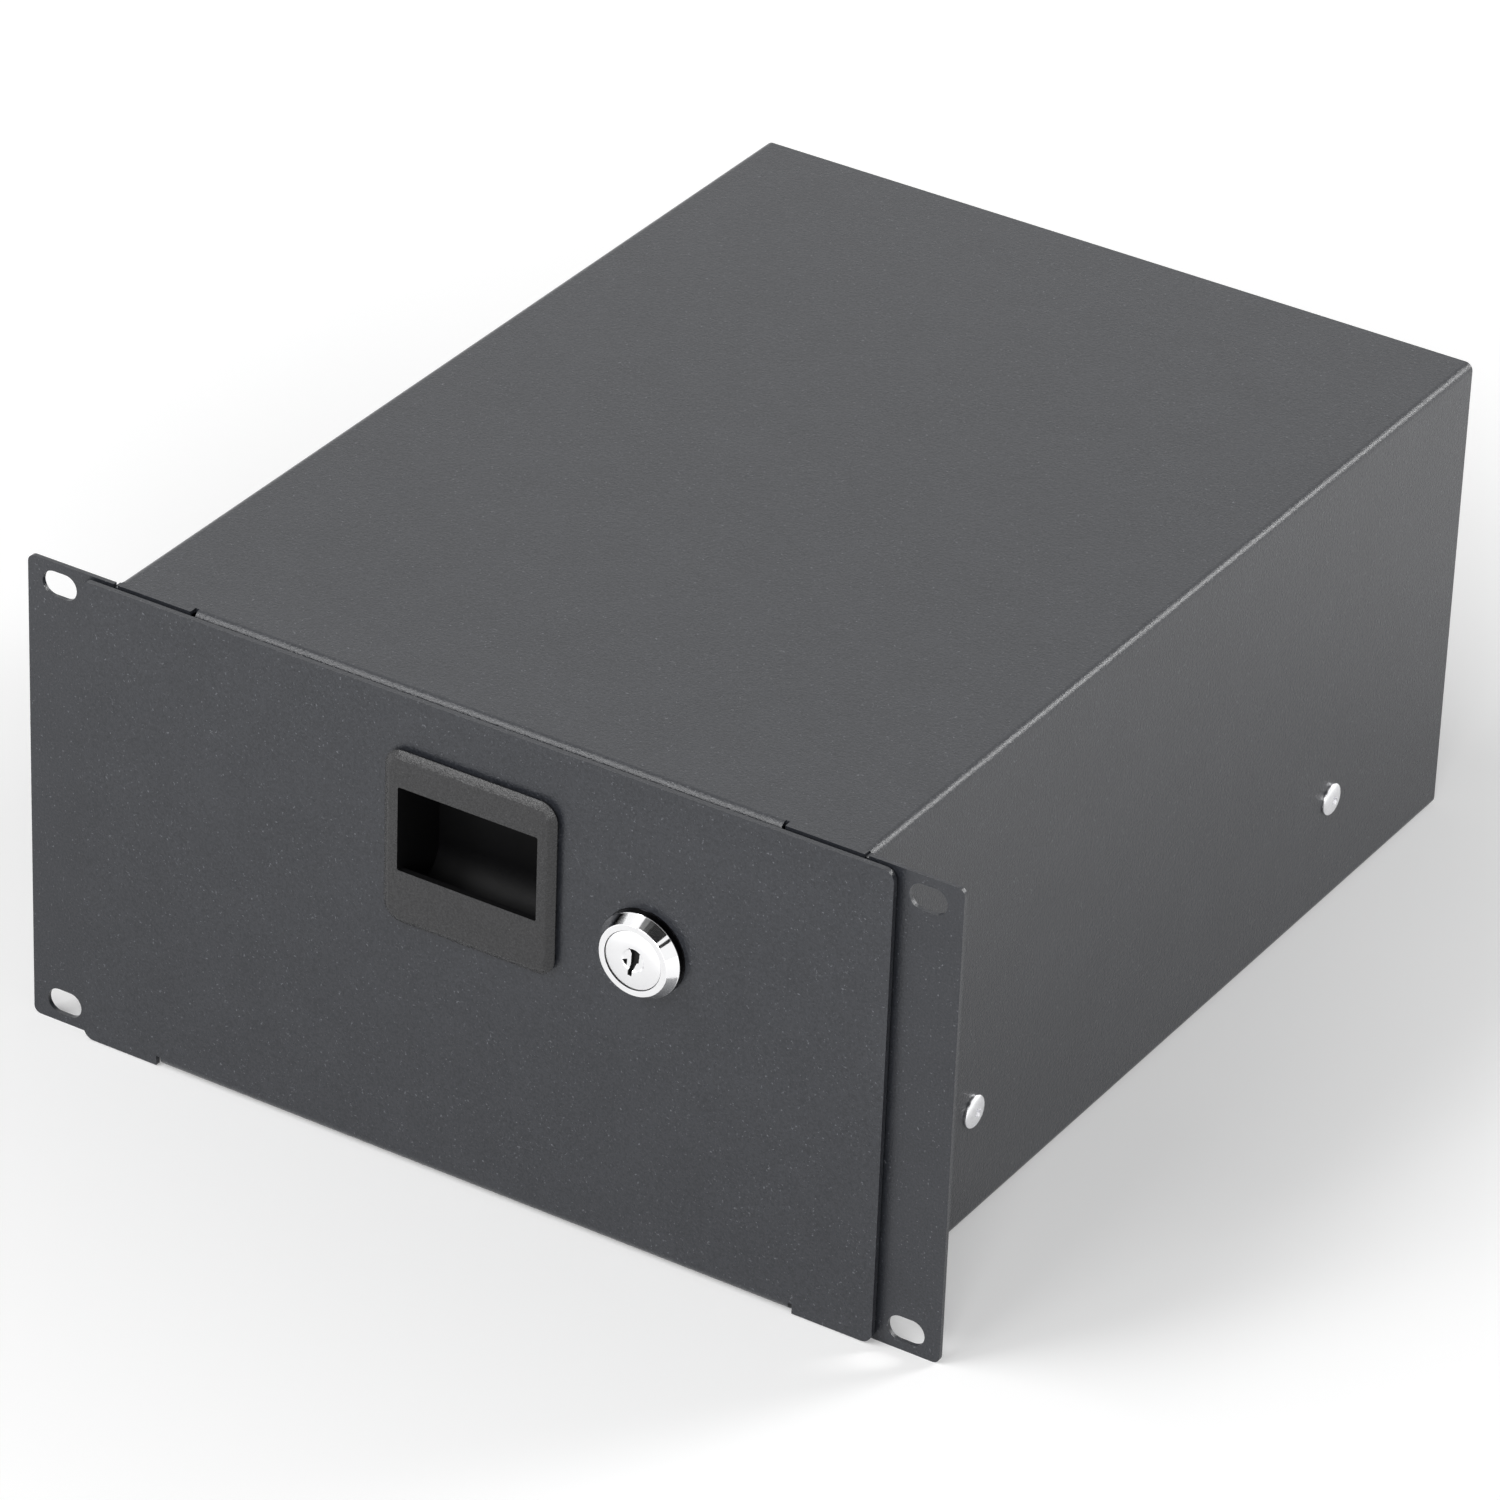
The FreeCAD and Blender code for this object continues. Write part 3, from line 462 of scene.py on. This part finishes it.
def carved(body, cutters, additions=()):
    """Mesh of a body with the additions joined to it and then the cutters taken out of it."""
    steps = [("UNION", part) for part in additions] + [("DIFFERENCE", part) for part in cutters]
    parts = [body] + [part for _, part in steps]
    objects = [bpy.data.objects.new("body", as_mesh(part)) for part in parts]
    for part in objects:
        bpy.context.scene.collection.objects.link(part)
    for (operation, _), part in zip(steps, objects[1:]):
        step = objects[0].modifiers.new("step", "BOOLEAN")
        step.operation = operation
        step.solver = "EXACT"
        step.object = part
    bpy.context.view_layer.update()
    graph = bpy.context.evaluated_depsgraph_get()
    data = bpy.data.meshes.new_from_object(objects[0].evaluated_get(graph))
    for part in objects:
        old = part.data
        bpy.data.objects.remove(part)
        bpy.data.meshes.remove(old)
    return data


def joined(meshes):
    """One mesh from several."""
    whole = bmesh.new()
    for data in meshes:
        whole.from_mesh(data)
    for data in meshes:
        bpy.data.meshes.remove(data)
    return as_mesh(whole)


def screw_heads(name, node, body, inwards):
    """Truss-head screws on the case or tray, one at each end of the node's box on both sides."""
    low, high = box_of(node)
    height, radius, seat = SCREWS[node]
    dome = [(radius * math.cos(t), HEAD_RIM + (height - HEAD_RIM) * math.sin(t))
            for t in (math.radians(90 * i / DOME_STEPS) for i in range(DOME_STEPS + 1))]
    profile = [(0, -SHANK_LENGTH), (SHANK_RADIUS, -SHANK_LENGTH), (SHANK_RADIUS, 0),
               (radius * HEAD_SEAT_SHARE, 0), (radius, HEAD_RIM_SEAT)] + dome[:-1] + [(0, height)]
    level = (low.z + high.z) / 2
    screws = []
    for side in (-1, 1):
        out = -side if inwards else side
        for y in (low.y + radius * MM, high.y - radius * MM):
            origin = Vector((side * seat * MM, y, level))
            blank = turned(profile, origin, Vector((out, 0, 0)), 48)
            cutters = [recess_wing(origin, out, height, turn) for turn in RECESS_TURNS]
            screws.append(carved(blank, cutters))
    new_piece(name, joined(screws), [bright], body, node)


def recess_wing(origin, out, height, turn):
    """Tapered wing of a cross recess in a screw head."""
    body = bmesh.new()
    turn = math.radians(turn)
    along = Vector((0, math.cos(turn), math.sin(turn)))
    across = Vector((0, -math.sin(turn), math.cos(turn)))
    out = Vector((out, 0, 0))
    corners = []
    for depth, (half_length, half_width) in ((height + RECESS_CLEAR, RECESS_MOUTH),
                                             (height - RECESS_DEPTH, RECESS_FOOT)):
        for a, b in ((1, 1), (-1, 1), (-1, -1), (1, -1)):
            arm = out * depth + along * half_length * a + across * half_width * b
            corners.append(body.verts.new(origin + arm * MM))
    body.faces.new(corners[:4])
    body.faces.new(corners[4:])
    for i in range(4):
        j = (i + 1) % 4
        body.faces.new((corners[i], corners[j], corners[j + 4], corners[i + 4]))
    bmesh.ops.recalc_face_normals(body, faces=body.faces)
    return body


def smooth_balls(node, body):
    """Polished balls in the places of the node's, three along and one in each lane."""
    low, high = box_of(node)
    radius = (high.x - low.x) / 2
    balls = bmesh.new()
    for y in (low.y + radius, (low.y + high.y) / 2, high.y - radius):
        for z in (low.z + radius, high.z - radius):
            place = Matrix.Translation(((low.x + high.x) / 2, y, z))
            bmesh.ops.create_uvsphere(balls, u_segments=24, v_segments=16, radius=radius,
                                      matrix=place)
    new_piece(node + "_polished", as_mesh(balls), [ball_steel], body, node)


def lock_place():
    """Point on the lock's axis at the front of its head, in metres."""
    low, high = box_of("lock_plug")
    head_low, _ = box_of("lock_housing")
    return Vector(((low.x + high.x) / 2, head_low.y, (low.z + high.z) / 2))


def lock_head():
    """Chrome head with a bevelled rim, and its threaded barrel with a flat above and below. The
    rim's cylinder takes a painted dark reflection, and the bore a painted shade.
    """
    centre = lock_place()
    profile = list(HEAD_PROFILE)
    along = HEAD_PROFILE[-1][1]
    profile.append((THREAD, along))
    while along + THREAD_PITCH < BARREL:
        profile.append((THREAD - THREAD_DEPTH, along + THREAD_PITCH / 2))
        along += THREAD_PITCH
        profile.append((THREAD, along))
    profile += [(THREAD - THREAD_DEPTH, BARREL), (BARREL_BORE, BARREL),
                (BARREL_BORE, BARREL - BARREL_BORE_DEPTH), (0, BARREL - BARREL_BORE_DEPTH)]
    body = turned(profile, centre, (0, 1, 0), 96)
    for vert in body.verts:
        if vert.co.y > centre.y + THREAD_START * MM:
            vert.co.z = min(max(vert.co.z, centre.z - FLATS * MM), centre.z + FLATS * MM)

    def finish(p):
        reach = math.hypot(p.x - centre.x, p.z - centre.z) / MM
        along = (p.y - centre.y) / MM
        if reach < BORE_REACH and along < BORE_END:
            return 1
        if reach < RING_REACH and along < RING_END:
            return 3
        # The rim's cylinder takes the painted dark reflection
        return 2 if reach > RIM_REACH and along > RIM_START else 0

    head = new_piece("lock_head", as_mesh(body), [chrome, keyway_painted_shade, rim_painted_reflection, satin], "drawer",
                     "lock_housing", inside=finish)
    head.visible_diffuse = False


def lock_plug():
    """Plug with its face, key slot, square end and stud. The key slot and the plug's side behind
    its face are painted near-black as shade.
    """
    low, high = box_of("lock_plug")
    centre = lock_place()
    centre.y = low.y
    length = (high.y - low.y) / MM
    square_start = box_of("lock_cam")[0].y
    profile = PLUG_PROFILE + [(STUD, PLUG_PROFILE[-1][1])]
    along = PLUG_PROFILE[-1][1]
    while along + STUD_PITCH < length - STUD_TIP:
        profile.append((STUD - STUD_GROOVE, along + STUD_PITCH / 2))
        along += STUD_PITCH
        profile.append((STUD, along))
    profile += [(STUD - STUD_TIP, length), (0, length)]
    body = turned(profile, centre, (0, 1, 0), 96)

    def place(u, along, v):
        return centre + Vector((u, along, v)) * MM

    half = PLUG_SQUARE / 2
    start = (square_start - low.y) / MM - SQUARE_LEAD
    square = bar([(-half, -half), (half, -half), (half, half), (-half, half)],
                 start + SQUARE_START, start + SQUARE_END, place)
    disc = turned(KEY_DISC, centre, (0, 1, 0), 64)
    slot = bar(KEY_SLOT, KEY_CUT_START, KEY_SLOT_DEPTH, place)
    pocket = bar(KEY_POCKET, KEY_CUT_START, KEY_POCKET_DEPTH, place)
    data = carved(body, [disc, slot, pocket], [square])

    # Painted shade in the key slot and on the plug's side behind its face
    def dark(p):
        reach = math.hypot(p.x - centre.x, p.z - centre.z)
        in_slot = centre.y + KEY_SHADE_START * MM < p.y < centre.y + KEY_SHADE_END * MM
        return (reach < KEY_SHADE_REACH * MM and in_slot) or \
            (reach > PLUG_EDGE_REACH * MM and p.y > centre.y + PLUG_EDGE_START * MM)

    plug = new_piece("lock_plug_face", data, [satin, keyway_painted_shade], "lock_barrel",
                     "lock_plug", inside=dark)
    plug.visible_diffuse = False


def finger_pull():
    """Raised bezel with an undercut behind its edge, and the pocket with its ramp and snap lugs.
    The pocket's inside and the undercut are painted near-black as shade.
    """
    low, high = box_of("finger_pull")
    plate_front = box_of("drawer_tray")[0].y / MM
    plate_back = box_of("lock_nut")[0].y / MM
    width = (high.x - low.x) / MM
    height = (high.z - low.z) / MM
    level = (low.z + high.z) / 2 / MM
    face = low.y / MM
    back = face + POCKET_DEPTH
    mouth_top = high.z / MM - MOUTH_BELOW_TOP
    mouth_low = mouth_top - MOUTH[1]
    floor = mouth_low - LIP_DROP

    def place(u, along, v):
        return Vector((u, along, v)) * MM

    bezel = lofted([(rounded(width - 2 * inset, height - 2 * inset, PULL_CORNER - inset, 0, level),
                     plate_front - proud) for inset, proud in BEZEL], place)
    shell_height = mouth_top - floor + 2 * WALL
    shell = bar(rounded(MOUTH[0] + 2 * WALL, shell_height, WALL, 0, (mouth_top + floor) / 2, 4),
                plate_front - POCKET_LAP, back + WALL, place)
    mouth = bar(rounded(MOUTH[0], MOUTH[1], MOUTH_CORNER, 0, (mouth_top + mouth_low) / 2, 3),
                face - MOUTH_CLEAR, back, place)
    ramp = [(face + LIP, mouth_top), (face + LIP, floor)]
    for i in range(RAMP_STEPS + 1):
        turn = math.radians(-90 + 90 * i / RAMP_STEPS)
        ramp.append((back - RAMP + RAMP * math.cos(turn), floor + RAMP + RAMP * math.sin(turn)))
    ramp.append((back, mouth_top))
    hollow = bar(ramp, -MOUTH[0] / 2, MOUTH[0] / 2, lambda u, along, v: place(along, u, v))
    parts = [carved(bezel, [mouth, hollow], [shell])]
    edge = MOUTH[0] / 2 + WALL
    for side in (-1, 1):
        wedge = [(side * edge, plate_back + LUG_GAP),
                 (side * (edge + LUG[0]), plate_back + LUG_GAP),
                 (side * edge, plate_back + LUG[1])]
        parts.append(as_mesh(bar(wedge, level - LUG[2] / 2, level + LUG[2] / 2,
                                 lambda u, along, v: place(u, v, along))))

    # Faces inside the pocket and behind the bezel's undercut take the painted shade
    def in_painted_shade(p):
        within = mouth_low - TOUCH < p.z / MM < mouth_top + TOUCH
        beside = abs(p.x) > (MOUTH[0] / 2 + TOUCH) * MM or not within
        return p.y / MM > (plate_front - BEZEL_UNDERCUT if beside else face + TOUCH)

    new_piece("finger_pull_moulding", joined(parts), [plastic, pocket_painted_shade], "drawer",
              "finger_pull", PULL_EDGE, in_painted_shade)


def corner_seams():
    """Painted weld beads in the reliefs where the ears meet the case's top flange."""
    top = box_of("case_shell")[1].z / MM
    case_half = SCREWS["case_slide_screws"][2]
    width, height = SEAM_SIZE
    for side, name in ((-1, "left"), (1, "right")):
        across = side * (case_half - SEAM_INSET)
        loops = [(rounded(width - 2 * shrink, height - 2 * shrink, SEAM_CORNER - shrink, across,
                          top - SEAM_BELOW_TOP, 4), y) for shrink, y in SEAM_STEPS]
        bead = lofted(loops, lambda u, along, v: Vector((u, along, v)) * MM)
        new_piece("corner_seam_" + name, as_mesh(bead), [paint], "case", None)


def background_rays(tree):
    """1 for the rays that see the background itself: the camera's, and those that metal and glass
    send on."""
    path = tree.nodes.new("ShaderNodeLightPath")
    total = path.outputs["Is Camera Ray"]
    for ray in ("Is Glossy Ray", "Is Transmission Ray"):
        add = tree.nodes.new("ShaderNodeMath")
        add.operation = "MAXIMUM"
        tree.links.new(total, add.inputs[0])
        tree.links.new(path.outputs[ray], add.inputs[1])
        total = add.outputs[0]
    return total


def studio_world():
    """World that lights the object softly and is white where it is seen."""
    world = bpy.data.worlds.new("studio")
    bpy.context.scene.world = world
    world.use_nodes = True
    tree = world.node_tree
    background = tree.nodes["Background"]
    background.inputs["Color"].default_value = (1.0, 1.0, 1.0, 1.0)
    strength = tree.nodes.new("ShaderNodeMapRange")
    strength.inputs["To Min"].default_value = WORLD_LIGHT
    strength.inputs["To Max"].default_value = 1.0
    tree.links.new(background_rays(tree), strength.inputs["Value"])
    tree.links.new(strength.outputs["Result"], background.inputs["Strength"])


def studio_floor(level):
    """Pale floor that keeps the object's shadow and is white where it is seen away from it."""
    bpy.ops.mesh.primitive_plane_add(size=FLOOR_SIZE, location=(middle.x, middle.y, level))
    floor = bpy.context.object
    floor.name = "floor"
    material = bpy.data.materials.new("floor")
    material.use_nodes = True
    tree = material.node_tree
    tree.nodes.remove(tree.nodes["Principled BSDF"])
    matt = tree.nodes.new("ShaderNodeBsdfDiffuse")
    matt.inputs["Color"].default_value = (FLOOR_WHITE, FLOOR_WHITE, FLOOR_WHITE, 1.0)
    glow = tree.nodes.new("ShaderNodeEmission")
    strength = tree.nodes.new("ShaderNodeMath")
    strength.operation = "MULTIPLY"
    tree.links.new(background_rays(tree), strength.inputs[0])
    coordinates = tree.nodes.new("ShaderNodeTexCoord")
    distance = tree.nodes.new("ShaderNodeVectorMath")
    distance.operation = "LENGTH"
    tree.links.new(coordinates.outputs["Object"], distance.inputs[0])
    # Glow rising with the distance from the middle, so the floor near the object is darker: painted
    # shade
    fade = tree.nodes.new("ShaderNodeMapRange")
    for name, value in FLOOR_FADE.items():
        fade.inputs[name].default_value = value
    tree.links.new(distance.outputs["Value"], fade.inputs["Value"])
    tree.links.new(fade.outputs["Result"], strength.inputs[1])
    tree.links.new(strength.outputs[0], glow.inputs["Strength"])
    both = tree.nodes.new("ShaderNodeAddShader")
    tree.links.new(matt.outputs[0], both.inputs[0])
    tree.links.new(glow.outputs[0], both.inputs[1])
    tree.links.new(both.outputs[0], tree.nodes["Material Output"].inputs["Surface"])
    floor.data.materials.append(material)


def softbox(name, offset, length, width, power, along):
    """Soft lamp at an offset from the object's middle, facing it, with its length along a line."""
    data = bpy.data.lights.new(name, "AREA")
    data.shape = "RECTANGLE"
    data.size = length
    data.size_y = width
    data.energy = power
    lamp = bpy.data.objects.new(name, data)
    lamp.location = middle + Vector(offset)
    back = Vector(offset).normalized()
    along = Vector(along)
    along = (along - back * along.dot(back)).normalized()
    lamp.rotation_mode = "QUATERNION"
    axes = Matrix((along, back.cross(along), back)).transposed()
    lamp.rotation_quaternion = axes.to_quaternion()
    bpy.context.scene.collection.objects.link(lamp)


def dark_card(target, low, high, grey):
    """Dark panel on an arc over the target, between two angles, that only shiny surfaces see."""
    panel = bmesh.new()
    corners = []
    for turn, side in ((low, -1), (low, 1), (high, 1), (high, -1)):
        turn = math.radians(turn)
        place = Vector((CARD_REACH * math.cos(turn), CARD_AHEAD + side * CARD_HALF_WIDTH,
                        CARD_REACH * math.sin(turn)))
        corners.append(panel.verts.new(target + place))
    panel.faces.new(corners)
    card = bpy.data.objects.new("dark_card", as_mesh(panel))
    bpy.context.scene.collection.objects.link(card)
    card.data.materials.append(dull("dark_card", (grey, grey, grey), CARD_ROUGHNESS))
    for ray in ("visible_camera", "visible_diffuse", "visible_shadow", "visible_transmission"):
        setattr(card, ray, False)


def photo_camera():
    data = bpy.data.cameras.new("camera")
    data.sensor_width = SENSOR_WIDTH
    data.lens = FOCAL_LENGTH
    data.clip_start = CAMERA_NEAR
    data.clip_end = CAMERA_FAR
    camera = bpy.data.objects.new("camera", data)
    camera.location = CAMERA_PLACE
    camera.rotation_mode = "QUATERNION"
    axes = Matrix((CAMERA_RIGHT, CAMERA_UP, CAMERA_RIGHT.cross(CAMERA_UP))).transposed()
    camera.rotation_quaternion = axes.to_quaternion()
    bpy.context.scene.collection.objects.link(camera)
    bpy.context.scene.camera = camera


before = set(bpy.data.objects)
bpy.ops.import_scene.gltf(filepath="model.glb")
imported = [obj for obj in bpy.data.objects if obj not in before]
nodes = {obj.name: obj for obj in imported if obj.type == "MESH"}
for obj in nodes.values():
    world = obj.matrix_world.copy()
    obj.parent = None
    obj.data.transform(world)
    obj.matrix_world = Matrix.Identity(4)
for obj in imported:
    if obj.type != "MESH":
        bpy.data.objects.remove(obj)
cad_box = [list(corner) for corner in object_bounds()]

paint = powder_coat("powder_coat")
plastic = moulded_plastic("pull_plastic")
pocket_painted_shade = dull("pull_pocket_painted_shade", POCKET_PAINTED_SHADE, 0.5, 0.15)
zinc = metal("slide_zinc", ZINC, 0.30, 0.16)
bright = metal("screw_zinc", SCREW_ZINC, 0.18, 0.10)
chrome = metal("lock_chrome", CHROME, 0.05, 0.05, POLISHED)
steel = metal("lock_steel", DARK_STEEL, 0.35, 0.15)
ball_steel = metal("ball_steel", BALL_STEEL, 0.06, 0.04)
satin = metal("plug_chrome", CHROME, 0.16, 0.06, POLISHED)
keyway_painted_shade = dull("keyway_painted_shade", KEYWAY_PAINTED_SHADE, 0.6)
rim_painted_reflection = metal("lock_rim_painted_reflection", RIM_PAINTED_REFLECTION, 0.12, 0.06, POLISHED)
rubber = dull("bumper_rubber", RUBBER, 0.7)

finish_node("case_shell", paint, CASE_EDGE)
finish_node("rear_panel", paint, CASE_EDGE)
finish_node("drawer_tray", paint, TRAY_EDGE)
for side in ("left", "right"):
    for name in ("slide_outer_", "slide_middle_", "slide_inner_", "outer_retainer_",
                 "inner_retainer_"):
        finish_node(name + side, zinc)
    finish_node("slide_bumper_" + side, rubber)
for name in ("lock_nut", "lock_cam", "lock_cam_washer", "lock_cam_nut"):
    finish_node(name, steel, LOCK_STEEL_EDGE)

screw_heads("case_screw_heads", "case_slide_screws", "case", False)
screw_heads("tray_screw_heads", "tray_slide_screws", "drawer", True)
for side in ("left", "right"):
    smooth_balls("outer_balls_" + side, "outer_balls_cage_" + side)
    smooth_balls("inner_balls_" + side, "inner_balls_cage_" + side)
lock_head()
lock_plug()
finger_pull()
corner_seams()

middle = (Vector(cad_box[0]) + Vector(cad_box[1])) / 2
studio_world()
studio_floor(cad_box[0][2])
for name, lamp in LAMPS.items():
    softbox(name, *lamp)
lock = lock_place()
for card in CARDS:
    dark_card(lock, *card)
photo_camera()

bpy.context.scene.view_settings.view_transform = "Standard"
